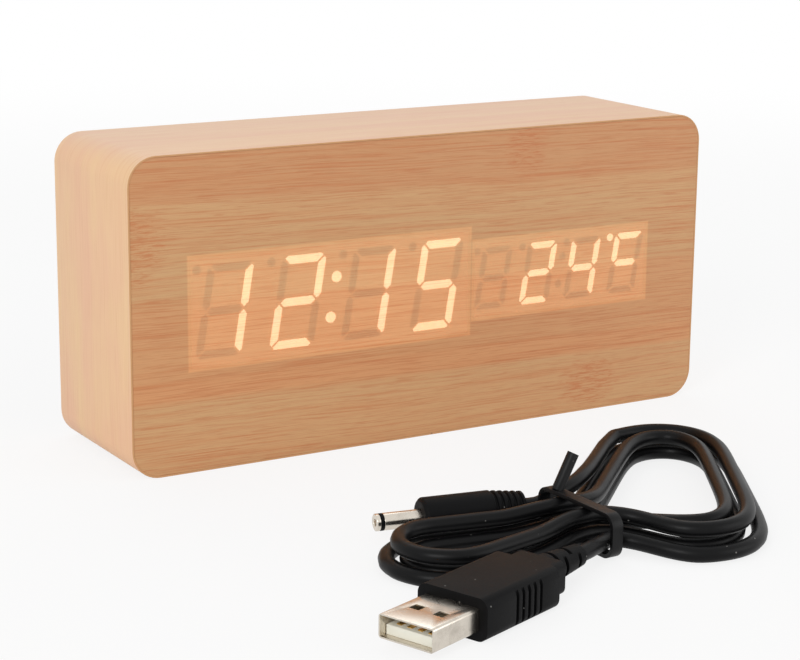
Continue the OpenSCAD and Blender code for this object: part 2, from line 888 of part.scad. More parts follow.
module battery_springs() {
    echo(spring_least_gap = least_gap(spring_path(), spring_wire / 2, 3 * spring_wire));
    color("silver") for (row = cell_rows) translate([bay_x, cell_y, bay_z + row * row_pitch])
        rotate([0, 0, row == 0 ? 180 : 0]) translate([-bay_w / 2 + plate[0], 0, 0])
            sweep(spring_path(), spring_wire / 2, spring_sides, [0, 1, 0]);
}

// Contact plates at both ends of each cell, with a raised nub where the cell's cap sits
module battery_plates() {
    color("silver") for (row = cell_rows, s = [-1, 1])
        translate([bay_x, cell_y, bay_z + row * row_pitch]) rotate([0, 0, s > 0 ? 180 : 0])
            translate([-bay_w / 2, 0, 0]) {
                translate([0, -plate[1] / 2, -plate[2] / 2]) cube(plate);
                if ((row == 0) == (s < 0)) rotate([0, 90, 0]) cylinder(r = nub_r, h = plate[0] + nub_h);
            }
}

module ribbon_plugs() {
    color("ivory") {
        block(ribbon_x, key_z, ribbon_plug[0], ribbon_plug[1], pcb_back, pcb_back + ribbon_plug[2]);
        block(ribbon_x, key_z, ribbon_plug[0], ribbon_plug[1], keyb_front - ribbon_plug[2], keyb_front);
    }
}

// Flat ribbon between both plugs, bowed to one side
module key_ribbon() {
    y0 = pcb_back + ribbon_plug[2];
    y1 = keyb_front - ribbon_plug[2];
    edge = [
        for (i = [0:ribbon_steps]) let (f = i / ribbon_steps)
            [ribbon_x + ribbon_bow * pow(sin(180 * f), 2), y0 + (y1 - y0) * f]
    ];
    color("lightgray") translate([0, 0, key_z - ribbon_w / 2]) linear_extrude(ribbon_w) polygon(concat(
        [for (p = edge) p - [ribbon_t / 2, 0]],
        [for (i = [ribbon_steps:-1:0]) edge[i] + [ribbon_t / 2, 0]]
    ));
}

// Wire from the front of the battery tray to the main board
module battery_wire(x) {
    d = wire_d;
    z = bay_z + wire_z;
    sweep([
        [x, tray_floor, z], [x, tray_floor - d, z], [x + wire_bow[0], tray_floor - 3 * d, z - wire_bow[1]],
        [x + wire_bow[0], pcb_back + 3 * d, z - 2 * wire_bow[1]], [x, pcb_back + d, z - 3 * wire_bow[1]],
        [x, pcb_back, z - 3 * wire_bow[1]]
    ], d / 2, wire_sides, [0, 0, 1]);
}

module wire_red() {
    color("red") battery_wire(wire_x[0]);
}

module wire_black() {
    color("black") battery_wire(wire_x[1]);
}

// The hank lies in its own plane: u along it, v across it. Its outline is a chain of round bends
// joined by straight runs, each bend as [middle, radius, +1 or -1 as it grows outwards, from, to, rings].
fillet_v = waist_half + waist_bend;
far_shift = (far_r - near_r) * [-sin(side_turn), cos(side_turn)];
side_run_uv = side_run * [cos(side_turn), sin(side_turn)];
near_0 = [
    waist_run + (waist_bend + near_r) * sin(front_turn),
    -fillet_v + (waist_bend + near_r) * cos(front_turn)
];
far_0 = [
    waist_run + (waist_bend + far_r) * sin(rear_turn),
    fillet_v - (waist_bend + far_r) * cos(rear_turn)
];
closing = far_0 - near_0 - far_shift - side_run_uv;
front_run = (closing[0] * sin(rear_turn) - closing[1] * cos(rear_turn)) / sin(front_turn + rear_turn);
near_c = near_0 + front_run * [cos(front_turn), -sin(front_turn)];
far_c = near_c + far_shift + side_run_uv;
left_run = (left_r * cos(left_turn) - waist_half - waist_bend * (1 - cos(left_turn))) / sin(left_turn);
left_c = [-(waist_run + (waist_bend + left_r) * sin(left_turn) + left_run * cos(left_turn)), 0];
hank_bends = [
    [[-waist_run, -fillet_v], waist_bend, -1, 90 + left_turn, 90, 2],
    [[waist_run, -fillet_v], waist_bend, -1, 90, 90 - front_turn, 3],
    [near_c, near_r, 1, -90 - front_turn, -90 + side_turn, 4],
    [far_c, far_r, 1, -90 + side_turn, 90 + rear_turn, 5],
    [[waist_run, fillet_v], waist_bend, -1, -90 + rear_turn, -90, 3],
    [[-waist_run, fillet_v], waist_bend, -1, -90, -90 - left_turn, 2],
    [left_c, left_r, 1, 90 - left_turn, 270 + left_turn, 5]
];
hank_rings = [
    for (b = hank_bends, i = [0:b[5] - 1]) [b[0], b[1], b[2], b[3] + (b[4] - b[3]) * i / (b[5] - 1)]
];
ring_n = len(hank_rings);
turn_back = hank_loops / 2 + climb_mid / ring_n;

// Ring i of the wound length: it spirals in, climbs a layer along a run, and spirals out
function hank_point(i) =
    let (
        turn = i / ring_n,
        inwards = turn < turn_back ? turn : 2 * turn_back - turn,
        out = hank_step * (turn_back - inwards),
        b = hank_rings[i % ring_n],
        r = b[1] + b[2] * out,
        climb = min(1, max(0, (turn - turn_back) * ring_n / climb_rings + 0.5)),
        u = b[0][0] + r * cos(b[3])
    )
    [u, b[0][1] + r * sin(b[3]), cable_d / 2 + hank_layer * climb + tie_hump(u)];
function tie_hump(u) = tie_lift * pow(max(0, 1 - pow(u / hump_half, 2)), 2);
function along(angle, d) = d * [cos(angle), sin(angle), 0];
lead_path = concat(
    [usb_exit, usb_exit + along(usb_turn, cable_d)],
    usb_tail,
    [for (i = [first_ring:ring_n * (hank_loops - 1) + last_ring]) hank_point(i)],
    dc_tail,
    [dc_exit + along(dc_turn, cable_d), dc_exit]
);
tie_v = [
    usb_tail[1][1] - cable_d / 2,
    waist_half + hank_step * (turn_back - tie_ring / ring_n) + cable_d / 2
];

// Puts a piece drawn in the hank's plane on the table
module on_table() {
    translate(hank_at) rotate([0, 0, hank_turn]) children();
}

// The same for a plug drawn along X, from where its cable comes out to its tip
module at_usb() {
    on_table() translate(usb_exit) rotate([0, 0, usb_turn + 180]) children();
}

module at_dc() {
    on_table() translate(dc_exit) rotate([0, 0, dc_turn + 180]) children();
}

module along_x(x0, x1) {
    translate([x0, 0, 0]) rotate([90, 0, 90]) linear_extrude(x1 - x0) children();
}

module lead_cable() {
    echo(hank_least_gap = least_gap(lead_path, cable_d / 2, 5 * cable_d));
    echo(lead_length = run_length(lead_path)[len(lead_path) - 1]);
    color("black") on_table() sweep(lead_path, cable_d / 2, cable_sides, [0, 0, 1]);
}

// Folded sheet shell, open at the tip, with two catch holes above and below
module usb_shell() {
    in_w = shell[1] - 2 * shell_t;
    in_h = shell[2] - 2 * shell_t;
    color("silver") at_usb() difference() {
        along_x(body_end - shell_in, body_end + shell[0]) rounded(shell[1], shell[2], shell_r);
        along_x(body_end, body_end + shell[0] + cut) square([in_w, in_h], center = true);
        for (s = [-1, 1]) translate([body_end + catch_at, s * catch_y, 0])
            cube([catch_s, catch_s, shell[2] + cut], center = true);
    }
}

module usb_tongue() {
    color("white") at_usb() translate([body_end, -tongue[1] / 2, shell_t - shell[2] / 2]) cube(tongue);
}

module usb_contacts() {
    top = shell_t - shell[2] / 2 + tongue[2];
    first = -(contact_count - 1) / 2 * contact_pitch - contact[1] / 2;
    color("gold") at_usb() for (i = [0:contact_count - 1])
        translate([body_end + contact_in, first + i * contact_pitch, top]) cube(contact);
}

// Moulded grip with grooves on both sides, a neck and a slotted strain relief
module usb_overmould() {
    color("black") at_usb() difference() {
        union() {
            along_x(relief_l + neck[0], body_end) rounded(grip[1], grip[2], grip_r);
            along_x(relief_l, relief_l + neck[0] + seam) rounded(neck[1], neck[2], neck_r);
            rotate([0, 90, 0]) cylinder(r1 = relief_r0, r2 = relief_r1, h = relief_l + seam);
        }
        along_x(body_end - shell_in, body_end + cut) rounded(shell[1], shell[2], shell_r);
        for (s = [-1, 1], i = [0:groove_count - 1])
            translate([body_end - groove_at - i * groove_pitch, s * grip[1] / 2, 0])
                cube([groove_w, 2 * groove_deep, grip[2] - 2 * groove_deep], center = true);
        for (s = [-1, 1], i = [0:slot_count - 1]) translate([slot_at + i * slot_pitch, 0, 0])
            rotate([i % 2 * 90, 0, 0]) translate([0, s * relief_r1, 0])
                cube([slot_w, 2 * (relief_r1 - slot_core), 2 * relief_r1], center = true);
    }
}

module ring(x0, x1, outer, inner) {
    difference() {
        translate([x0, 0, 0]) rotate([0, 90, 0]) cylinder(r = outer, h = x1 - x0);
        translate([x0 - cut, 0, 0]) rotate([0, 90, 0]) cylinder(r = inner, h = x1 - x0 + 2 * cut);
    }
}

// Outer tube of the plug
module dc_plug_barrel() {
    color("silver") at_dc() ring(dc_body - barrel_in, barrel_end, plug_d / 2, barrel_bore);
}

// Black ring that parts the tube from the tip
module dc_plug_insulator() {
    color("black") at_dc() {
        ring(barrel_end, barrel_end + collar, plug_d / 2, sleeve_r);
        ring(dc_body - barrel_in, barrel_end, barrel_bore, sleeve_r);
    }
}

// Inner tube, widened to the tip
module dc_plug_sleeve() {
    color("silver") at_dc() {
        ring(dc_body - barrel_in, barrel_end + collar, sleeve_r, pin_d / 2 + fit);
        ring(barrel_end + collar, barrel_end + 2 * collar, plug_d / 2, pin_d / 2 + fit);
    }
}

// Round moulded grip with ribs towards the cable
module dc_plug_overmould() {
    r = dc_grip_d / 2;
    color("black") at_dc() difference() {
        rotate([0, 90, 0]) rotate_extrude() polygon(concat(
            [[0, 0], [r - dc_taper, 0]],
            [for (i = [0:rib_count - 1]) each [
                [r - dc_taper + dc_taper * i / rib_count, rib_pitch * (i + 0.5)],
                [r - dc_taper - rib_deep + dc_taper * i / rib_count, rib_pitch * (i + 0.5)],
                [r - dc_taper - rib_deep + dc_taper * i / rib_count, rib_pitch * (i + 1)],
                [r - dc_taper + dc_taper * (i + 1) / rib_count, rib_pitch * (i + 1)]
            ]],
            [[r, rib_pitch * rib_count + rib_land], [r, dc_body - dc_edge]],
            [[r - dc_edge, dc_body], [0, dc_body]]
        ));
        translate([dc_body - barrel_in, 0, 0]) rotate([0, 90, 0])
            cylinder(r = plug_d / 2, h = barrel_in + cut);
    }
}

// Flat tie round the waist of the hank, with its end standing up
module cable_tie() {
    low = tie_lift - ease;
    high = tie_lift + cable_d + hank_layer + ease;
    w = tie_v[1] - tie_v[0] + 2 * ease;
    color("black") on_table() {
        translate([0, (tie_v[0] + tie_v[1]) / 2, (low + high) / 2]) difference() {
            along_x(-tie_w / 2, tie_w / 2) rounded(w + 2 * tie_t, high - low + 2 * tie_t, tie_r + tie_t);
            along_x(-tie_w, tie_w) rounded(w, high - low, tie_r);
        }
        translate([0, tie_end_v, high + 3 / 4 * tie_t]) rotate([0, tie_lean, 0])
            cylinder(d = tie_end[0], h = tie_end[1]);
    }
}

side_wrap();
front_film();
case_frame();
front_board();
corner_blocks();
back_board();
back_film();
back_screws();
time_module();
time_segments_lit();
time_segments_unlit();
temp_module();
temp_segments_lit();
temp_segments_unlit();
display_pins();
main_board();
board_spacers();
board_screws();
controller_chip();
driver_chip();
crystal();
capacitors();
coin_cell_holder();
coin_cell();
buzzer();
microphone();
thermistor();
key_board();
key_posts();
key_screws();
tact_switches();
set_plunger();
up_plunger();
down_plunger();
set_button();
up_button();
down_button();
sound_switch_body();
sound_slider();
dc_socket();
dc_socket_pin();
battery_tray();
battery_door();
battery_springs();
battery_plates();
ribbon_plugs();
key_ribbon();
wire_red();
wire_black();
lead_cable();
usb_shell();
usb_tongue();
usb_contacts();
usb_overmould();
dc_plug_barrel();
dc_plug_insulator();
dc_plug_sleeve();
dc_plug_overmould();
cable_tie();
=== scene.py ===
import json
from math import cos, pi, radians, sin

import bmesh
import bpy
from mathutils import Matrix, Vector


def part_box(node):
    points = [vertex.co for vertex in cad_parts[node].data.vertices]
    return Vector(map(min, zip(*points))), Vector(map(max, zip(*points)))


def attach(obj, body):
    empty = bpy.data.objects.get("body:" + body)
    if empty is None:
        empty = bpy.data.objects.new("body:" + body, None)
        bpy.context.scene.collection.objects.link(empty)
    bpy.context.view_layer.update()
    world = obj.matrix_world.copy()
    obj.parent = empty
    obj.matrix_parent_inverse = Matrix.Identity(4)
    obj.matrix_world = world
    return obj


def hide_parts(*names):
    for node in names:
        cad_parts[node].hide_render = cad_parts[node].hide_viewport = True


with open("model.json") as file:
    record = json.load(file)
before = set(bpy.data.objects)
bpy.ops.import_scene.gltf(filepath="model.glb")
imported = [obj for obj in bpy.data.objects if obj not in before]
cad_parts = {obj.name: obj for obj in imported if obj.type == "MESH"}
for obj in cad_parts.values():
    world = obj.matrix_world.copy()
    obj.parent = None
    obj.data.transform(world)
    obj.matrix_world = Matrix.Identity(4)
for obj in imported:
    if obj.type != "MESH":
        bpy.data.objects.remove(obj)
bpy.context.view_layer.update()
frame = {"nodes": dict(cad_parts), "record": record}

mm = 0.001
nodes = frame["nodes"]
bodyOf = {node: body for body, group in frame["record"]["behaviour"]["bodies"].items() for node in group}
print("frame loaded with", len(nodes), "nodes")

# camera, set by the edges of the box in an image 800 wide
viewpoint = {"place": (-252.12, -425.68, 140.24), "azimuth": -30.95, "elevation": 13.59, "roll": 0.58,
             "focal": 2148.8, "imageWidth": 800, "sensor": 36}


def makeCamera():
    turn, lift, roll = (radians(viewpoint[k]) for k in ("azimuth", "elevation", "roll"))
    back = Vector((sin(turn) * cos(lift), -cos(turn) * cos(lift), sin(lift)))
    side = Vector((0, 0, 1)).cross(back).normalized()
    top = back.cross(side)
    right = cos(roll) * side + sin(roll) * top
    up = cos(roll) * top - sin(roll) * side
    lens = bpy.data.cameras.new("camera")
    lens.sensor_width = viewpoint["sensor"]
    lens.lens = viewpoint["sensor"] * viewpoint["focal"] / viewpoint["imageWidth"]
    camera = bpy.data.objects.new("camera", lens)
    facing = Matrix((right, up, back)).transposed().to_4x4()
    camera.matrix_world = Matrix.Translation(Vector(viewpoint["place"]) * mm) @ facing
    bpy.context.scene.collection.objects.link(camera)
    bpy.context.scene.camera = camera


makeCamera()
print("camera placed")

# supply lead: a hank of loops drawn in at the waist, in millimetres and degrees in its own plane
lead = {
    "at": (-15, -97, 0), "turn": 2, "diameter": 3.3, "loops": 4, "sideGap": 0.9, "layerGap": 0.5,
    "waistHalf": 0.9, "waistRun": 3, "waistBend": 12, "nearRadius": 6, "farRadius": 6.3, "leftRadius": 6.2,
    "frontTurn": 79, "rearTurn": 42, "sideTurn": 57, "sideRun": 49, "leftTurn": 12,
    "climbMid": 3, "climbRings": 5, "firstRing": 2, "lastRing": 13, "tieLift": 1.3, "humpHalf": 14,
    "usbExit": (-11, -16.2, 4), "usbTurn": 18.5, "usbTail": [(-5.5, -14, 3.9), (-1.5, -11.9, 3.5)],
    "dcExit": (-2.8, 13.1, 4), "dcTurn": -12, "dcTail": [(25, 25.1, 5.9), (14, 16, 6.3), (6.5, 12.5, 5.6)],
    "finer": 3, "knotStep": 2, "curveSteps": 2, "tubeSteps": 4,
    "rounding": [(14, 18), (4, 8)],  # how far along it starts, and how many times
    "length": 0.935,  # metres, from end to end of the curve
}


def flat(angle, length=1.0):
    return Vector((cos(radians(angle)), sin(radians(angle)))) * length


def hankBends():
    bend, run, half = lead["waistBend"], lead["waistRun"], lead["waistHalf"]
    front, rear, side, left = (lead[k] for k in ("frontTurn", "rearTurn", "sideTurn", "leftTurn"))
    near, far, leftR = lead["nearRadius"], lead["farRadius"], lead["leftRadius"]
    filletV = half + bend
    nearStart = Vector((run, -filletV)) + flat(90 - front, bend + near)
    farStart = Vector((run, filletV)) + flat(rear - 90, bend + far)
    farShift = flat(side + 90, far - near) + flat(side, lead["sideRun"])
    closing = farStart - nearStart - farShift
    frontRun = (closing.x * sin(radians(rear)) - closing.y * cos(radians(rear))) / sin(radians(front + rear))
    nearMid = nearStart + flat(-front, frontRun)
    farMid = nearMid + farShift
    leftRun = (leftR * cos(radians(left)) - half - bend * (1 - cos(radians(left)))) / sin(radians(left))
    leftMid = Vector((-(run + (bend + leftR) * sin(radians(left)) + leftRun * cos(radians(left))), 0))
    return [  # middle, radius, grows outwards or inwards, from, to, rings
        (Vector((-run, -filletV)), bend, -1, 90 + left, 90, 2),
        (Vector((run, -filletV)), bend, -1, 90, 90 - front, 3),
        (nearMid, near, 1, -90 - front, -90 + side, 4),
        (farMid, far, 1, -90 + side, 90 + rear, 5),
        (Vector((run, filletV)), bend, -1, -90 + rear, -90, 3),
        (Vector((-run, filletV)), bend, -1, -90, -90 - left, 2),
        (leftMid, leftR, 1, 90 - left, 270 + left, 5),
    ]


def evenly(points, step):
    spots, spare = [points[0]], step
    for start, end in zip(points, points[1:]):
        run = (end - start).length
        while spare <= run:
            spots.append(start.lerp(end, spare / run))
            spare += step
        spare -= run
    return spots


def rounded(route, start):  # each knot drawn towards its neighbours
    eased = [(a + 2 * b + c) / 4 if b.x > start else b for a, b, c in zip(route, route[1:], route[2:])]
    return [route[0], *eased, route[-1]]


def hankPoints():
    finer = lead["finer"]
    rings = []  # ring number, then middle, radius, sign and angle
    for middle, radius, sign, start, end, count in hankBends():
        first = round(rings[-1][0]) + 1 if rings else 0
        for step in range((count - 1) * finer + 1):
            share = step / ((count - 1) * finer)
            rings.append((first + share * (count - 1), middle, radius, sign, start + (end - start) * share))
    perLoop = round(rings[-1][0]) + 1
    turnBack = lead["loops"] / 2 + lead["climbMid"] / perLoop
    lastRing = (lead["loops"] - 1) * perLoop + lead["lastRing"]
    stepOut, layerUp = lead["diameter"] + lead["sideGap"], lead["diameter"] + lead["layerGap"]
    points = []
    for loop in range(lead["loops"]):
        for number, middle, radius, sign, angle in rings:
            ring = loop * perLoop + number
            if not lead["firstRing"] <= ring <= lastRing:
                continue
            turns = ring / perLoop
            inwards = turns if turns < turnBack else 2 * turnBack - turns
            spot = middle + flat(angle, radius + sign * stepOut * (turnBack - inwards))
            climb = min(1, max(0, (turns - turnBack) * perLoop / lead["climbRings"] + 0.5))
            points.append(Vector((spot.x, spot.y, lead["diameter"] / 2 + layerUp * climb)))
    route = evenly(points, lead["knotStep"])
    for start, times in lead["rounding"]:  # the open end springs into a rounder loop
        for turn in range(times):
            route = rounded(route, start)
    for spot in route:  # lifted where the tie passes below
        spot.z += lead["tieLift"] * max(0, 1 - (spot.x / lead["humpHalf"]) ** 2) ** 2
    return route


def onTable(point):
    return (Vector(lead["at"]) + Matrix.Rotation(radians(lead["turn"]), 3, "Z") @ Vector(point)) * mm


def makeLead():
    usbExit, dcExit = Vector(lead["usbExit"]), Vector(lead["dcExit"])
    usbStraight = usbExit + flat(lead["usbTurn"], lead["diameter"]).to_3d()
    dcStraight = dcExit + flat(lead["dcTurn"], lead["diameter"]).to_3d()
    route = [usbExit, usbStraight, *lead["usbTail"], *hankPoints(), *lead["dcTail"], dcStraight, dcExit]
    curve = bpy.data.curves.new("supplyLead", "CURVE")
    curve.dimensions = "3D"
    curve.bevel_depth = 1.0  # times the radius of each knot
    curve.bevel_resolution = lead["tubeSteps"]
    curve.resolution_u = lead["curveSteps"]
    curve.use_fill_caps = True
    line = curve.splines.new("BEZIER")
    line.bezier_points.add(len(route) - 1)
    for knot, point in zip(line.bezier_points, route):
        knot.co = onTable(point)
        knot.radius = lead["diameter"] / 2 * mm
        knot.handle_left_type = knot.handle_right_type = "AUTO"
    piece = bpy.data.objects.new("supplyLead", curve)
    bpy.context.scene.collection.objects.link(piece)
    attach(piece, "lead")
    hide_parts("lead_cable")
    return piece


supplyLead = makeLead()
print("lead laid")


# a socket that can be used in sums, and that makes the nodes it needs
class Wire:
    def __init__(self, tree, socket=None):
        self.tree = tree
        self.socket = socket

    def make(self, kind, settings=None, inputs=None, out=0):
        node = self.tree.nodes.new(kind)
        for name, value in (settings or {}).items():
            setattr(node, name, value)
        for name, value in (inputs or {}).items():
            if isinstance(value, Wire):
                self.tree.links.new(value.socket, node.inputs[name])
            else:
                node.inputs[name].default_value = value
        return Wire(self.tree, node.outputs[out])

    def sum(self, operation, first, second=0.0):
        return self.make("ShaderNodeMath", {"operation": operation}, {0: first, 1: second})

    def __add__(self, other):
        return self.sum("ADD", self, other)

    def __radd__(self, other):
        return self.sum("ADD", other, self)

    def __sub__(self, other):
        return self.sum("SUBTRACT", self, other)

    def __rsub__(self, other):
        return self.sum("SUBTRACT", other, self)

    def __mul__(self, other):
        return self.sum("MULTIPLY", self, other)

    def __rmul__(self, other):
        return self.sum("MULTIPLY", other, self)

    def __pow__(self, other):
        return self.sum("POWER", self, other)

    def __abs__(self):
        return self.sum("ABSOLUTE", self)


def tone(red, green, blue):  # screen colour as the shader takes it
    def straight(value):
        value /= 255
        return value / 12.92 if value <= 0.04045 else ((value + 0.055) / 1.055) ** 2.4
    return (straight(red), straight(green), straight(blue), 1.0)


def ease(value, low, high):
    return value.make("ShaderNodeMapRange", {"interpolation_type": "SMOOTHSTEP"},
                      {"Value": value, "From Min": low, "From Max": high})


def least(first, second):
    return first.sum("MINIMUM", first, second)


def most(first, second):
    return first.sum("MAXIMUM", first, second)


def blend(share, first, second):
    return share.make("ShaderNodeMix", {"data_type": "RGBA"}, {0: share, 6: first, 7: second}, 2)


def grain(place, stretch, detail=3.0, rough=0.55, shift=(0, 0, 0)):
    spot = place.make("ShaderNodeMapping", None, {"Vector": place, "Scale": stretch, "Location": shift})
    return place.make("ShaderNodeTexNoise", None,
                      {"Vector": spot, "Scale": 1.0, "Detail": detail, "Roughness": rough})


def cells(place, stretch):
    spot = place.make("ShaderNodeMapping", None, {"Vector": place, "Scale": stretch})
    return place.make("ShaderNodeTexVoronoi", None, {"Vector": spot, "Scale": 1.0})


def swing(place, look):  # grain to both sides of nought
    return (grain(place, *look["grain"]) - 0.5) * look["by"]


def layer(place, look):  # the part of a grain that shows
    return ease(grain(place, *look["grain"]), *look["range"])


def laid(ground, shown, look, mark=None):  # a layer in its tone, stronger where there is a mark
    share = look["share"] if mark is None else look["share"] + mark * look["onMark"]
    return blend(shown * share, ground, look["tone"])


def axes(place):
    split = place.make("ShaderNodeSeparateXYZ", None, {0: place}).socket.node
    return [Wire(place.tree, socket) for socket in split.outputs]


def join(x, y, z=0.0):
    return x.make("ShaderNodeCombineXYZ", None, {0: x, 1: y, 2: z})


def raised(height, depth):
    return height.make("ShaderNodeBump", None, {"Strength": 1.0, "Distance": depth * mm, "Height": height})


class Finish:
    def __init__(self, name, **fixed):
        self.material = bpy.data.materials.new(name)
        self.material.use_nodes = True
        self.tree = self.material.node_tree
        self.shader = self.tree.nodes["Principled BSDF"]
        for socket, value in fixed.items():
            self.shader.inputs[socket.replace("_", " ")].default_value = value
        metres = Wire(self.tree).make("ShaderNodeTexCoord", out="Object")
        self.place = metres.make("ShaderNodeMapping", None, {"Vector": metres, "Scale": (1 / mm,) * 3})

    def feed(self, socket, wire):
        self.tree.links.new(wire.socket, self.shader.inputs[socket])


# the box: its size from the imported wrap, with the flats between its round corners
case = {"radius": 6.5, "filmShine": 0.3}
boxLow, boxHigh = (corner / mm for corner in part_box("side_wrap"))
midZ = (boxHigh.z + boxLow.z) / 2
flatW, flatH = boxHigh.x - case["radius"], boxHigh.z - midZ - case["radius"]


def intoCorner(x, z):
    return most(abs(x) - flatW, 0.0), most(abs(z - midZ) - flatH, 0.0)


def outlineGap(x, z):  # how far in from the outline
    overX, overZ = intoCorner(x, z)
    return case["radius"] - (overX * overX + overZ * overZ) ** 0.5


def perimeter(x, z):  # way round from the middle of the top, turn of the corner, way to the joint below
    up = z - midZ
    angle = x.sum("ARCTAN2", *intoCorner(x, z))
    quarter = least(abs(x), flatW) + case["radius"] * angle + (flatH - least(abs(up), flatH))
    middle = flatW + case["radius"] * pi / 2 + flatH
    below = x.sum("LESS_THAN", up, 0.0)
    around = quarter + below * 2.0 * (middle - quarter)
    return around * x.sum("SIGN", x), angle, around - 2 * middle


# pale film round the box: each grain is its stretch, detail, roughness and shift
wrapLook = {
    "sway": {"grain": ((0.012, 0.05, 1), 2), "by": 5.0},
    "broad": {"grain": ((0.008, 0.16, 1), 2), "onSide": (0.3, 0.7), "onTop": (0.35, 0.65), "share": 0.5},
    "patch": {"grain": ((0.03, 0.05, 1), 2, 0.5, (0.6, 0, 0)), "range": (0.4, 0.62), "share": 0.5},
    # painted light: the top of the one film is a cooler, less yellow tone than its sides, because the light
    # falls on each face differently
    "sideTones": (tone(240, 202, 157), tone(238, 191, 157)),
    "topTones": (tone(237, 201, 168), tone(235, 193, 164)),
    "topToSide": (0.1, 1.2),  # turn of the corner, in radians
    "streak": {"grain": ((0.018, 1.5, 1), 4, 0.62), "range": (0.5, 0.74), "share": 0.36,
               "tone": tone(226, 167, 131), "relief": 0.4},
    "fibre": {"grain": ((0.08, 7.0, 1), 3, 0.6), "range": (0.42, 0.75), "share": 0.42,
              "tone": tone(220, 168, 126), "relief": 0.6},
    "rim": {"range": (0.05, 0.14), "share": 1.0, "tone": tone(203, 154, 108)},
    "joint": {"range": (0.08, 0.22), "share": 0.75, "tone": tone(120, 84, 58), "relief": 3.0},
    "rough": 0.44, "roughFibre": 0.14, "depth": 0.03,
}


def wrapFinish():
    look = wrapLook
    paint = Finish("paleGrainFilm", Specular_IOR_Level=case["filmShine"])
    x, y, z = axes(paint.place)
    around, angle, fromJoint = perimeter(x, z)
    across = y + outlineGap(x, z)  # goes on over the rear edge
    route = join(around, across + swing(join(around, across), look["sway"]))
    broad = grain(route, *look["broad"]["grain"])
    patch = layer(route, look["patch"])
    mottle = ease(broad, *look["broad"]["onSide"]) * look["broad"]["share"] + patch * look["patch"]["share"]
    # painted light: top tone and side tone blended over the turn of the corner
    side = blend(mottle, *look["sideTones"])
    top = blend(ease(broad, *look["broad"]["onTop"]), *look["topTones"])
    ground = blend(ease(angle, *look["topToSide"]), top, side)
    streak = layer(route, look["streak"])
    fibre = grain(route, *look["fibre"]["grain"])
    rim = 1 - ease(y - boxLow.y, *look["rim"]["range"])
    joint = 1 - ease(abs(fromJoint), *look["joint"]["range"])
    lined = laid(ground, streak, look["streak"])
    lined = laid(lined, ease(fibre, *look["fibre"]["range"]), look["fibre"])
    lined = laid(lined, rim, look["rim"])
    relief = fibre * look["fibre"]["relief"] + streak * look["streak"]["relief"]
    relief = relief - joint * look["joint"]["relief"]
    paint.feed("Base Color", laid(lined, joint, look["joint"]))
    paint.feed("Roughness", look["rough"] + fibre * look["roughFibre"])
    paint.feed("Normal", raised(relief, look["depth"]))
    return paint.material


# front film: bands, streaks and ragged bamboo joints, with windows over the two modules; the band tones also
# carry painted light and shade
frontLook = {
    "sway": {"grain": ((0.011, 1, 0.03), 2), "by": 2.2},
    "ripple": {"grain": ((0.03, 1, 0.09), 2), "by": 0.6},
    "tilt": 0.018, "groundTones": (tone(205, 162, 116), tone(206, 154, 108)),
    "broad": {"grain": ((0.006, 1, 0.16), 2, 0.5, (0, 0, 3.2)), "range": (0.36, 0.62), "share": 0.3},
    # the top band's tone is darker than the lower bands' (painted shade at the top of the front), and the lower
    # bands' red is raised (painted light low on the front)
    "stripsWithPaintedLightAndShade": [(15.4, 20.5, 0.9, tone(211, 151, 104)), (20.5, 36.4, 0.7, tone(209, 151, 105)),
               (58.2, 74.0, 0.9, tone(201, 147, 103))],  # from, to, strength, tone
    "stripEdge": 0.8, "stripBroad": 0.6,
    "middle": {"grain": ((0.012, 1, 0.42), 3, 0.6), "range": (0.42, 0.7), "share": 0.5,
               "tone": tone(203, 145, 99)},
    "streak": {"grain": ((0.02, 1, 1.5), 4, 0.62), "range": (0.5, 0.65), "share": 0.36, "onMark": 0.4,
               "tone": tone(194, 120, 75), "relief": 0.4},
    "hair": {"grain": ((0.028, 1, 3.4), 3, 0.6), "range": (0.52, 0.64), "share": 0.3, "onMark": 0.35,
             "tone": tone(190, 116, 73), "relief": 0.3},
    "dash": {"grain": ((0.08, 1, 2.2), 3, 0.6), "range": (0.54, 0.64), "share": 0.42,
             "tone": tone(188, 114, 71)},
    "fibre": {"grain": ((0.2, 1, 8.0), 4, 0.65), "range": (0.42, 0.75), "share": 0.34,
              "tone": tone(172, 118, 78), "relief": 0.5},
    "knots": [(24.5, 65.0, 6.5, 7.5), (44.0, 7.0, 10.0, 6.5), (-74.0, 51.0, 8.0, 10.0)],  # x, z, reach
    "knot": {"range": (0.25, 1.0), "share": 0.1, "onMark": 0.62, "tone": tone(192, 116, 72)},
    "rag": {"grain": ((0.2, 1, 1.6), 3, 0.7), "by": 2.4},
    "tick": {"grain": ((0.26, 1, 2.4), 3, 0.65), "range": (0.46, 0.6)},
    # painted shade: a darker haze along the edge of the film, where the slit at the wrap is closed
    "seam": {"range": (0.5, 0.72), "share": 0.12, "tone": tone(150, 108, 74)},
    "window": (0.3, 1.1), "windowShow": 0.2, "spill": (-0.3, 0.25), "spillLight": (0.13, 0.055, 0.018, 1),
    "backFace": (0.1, 0.3), "rough": 0.38, "roughFibre": 0.16, "depth": 0.025,
}
modules = ["time_module", "temp_module"]


def insideModule(x, z, module):  # how far in from its upright and its level edges
    low, high = (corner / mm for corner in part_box(module))
    half, middle = (high - low) / 2, (high + low) / 2
    return half.x - abs(x - middle.x), half.z - abs(z - middle.z)


def windowMask(x, z, module):
    across, upwards = insideModule(x, z, module)
    return ease(across, *frontLook["window"]) * ease(upwards, *frontLook["window"])


def spillMask(x, z, module):  # light that creeps past the edges of a module
    return ease(least(*insideModule(x, z, module)), *frontLook["spill"])


def knotMask(x, z, route):
    mask = None
    for knotX, knotZ, wide, tall in frontLook["knots"]:
        far = ((x - knotX) * (1 / wide)) ** 2.0 + ((z - knotZ) * (1 / tall)) ** 2.0
        spot = 1 - ease(far + swing(route, frontLook["rag"]), *frontLook["knot"]["range"])
        mask = spot if mask is None else most(mask, spot)
    return mask


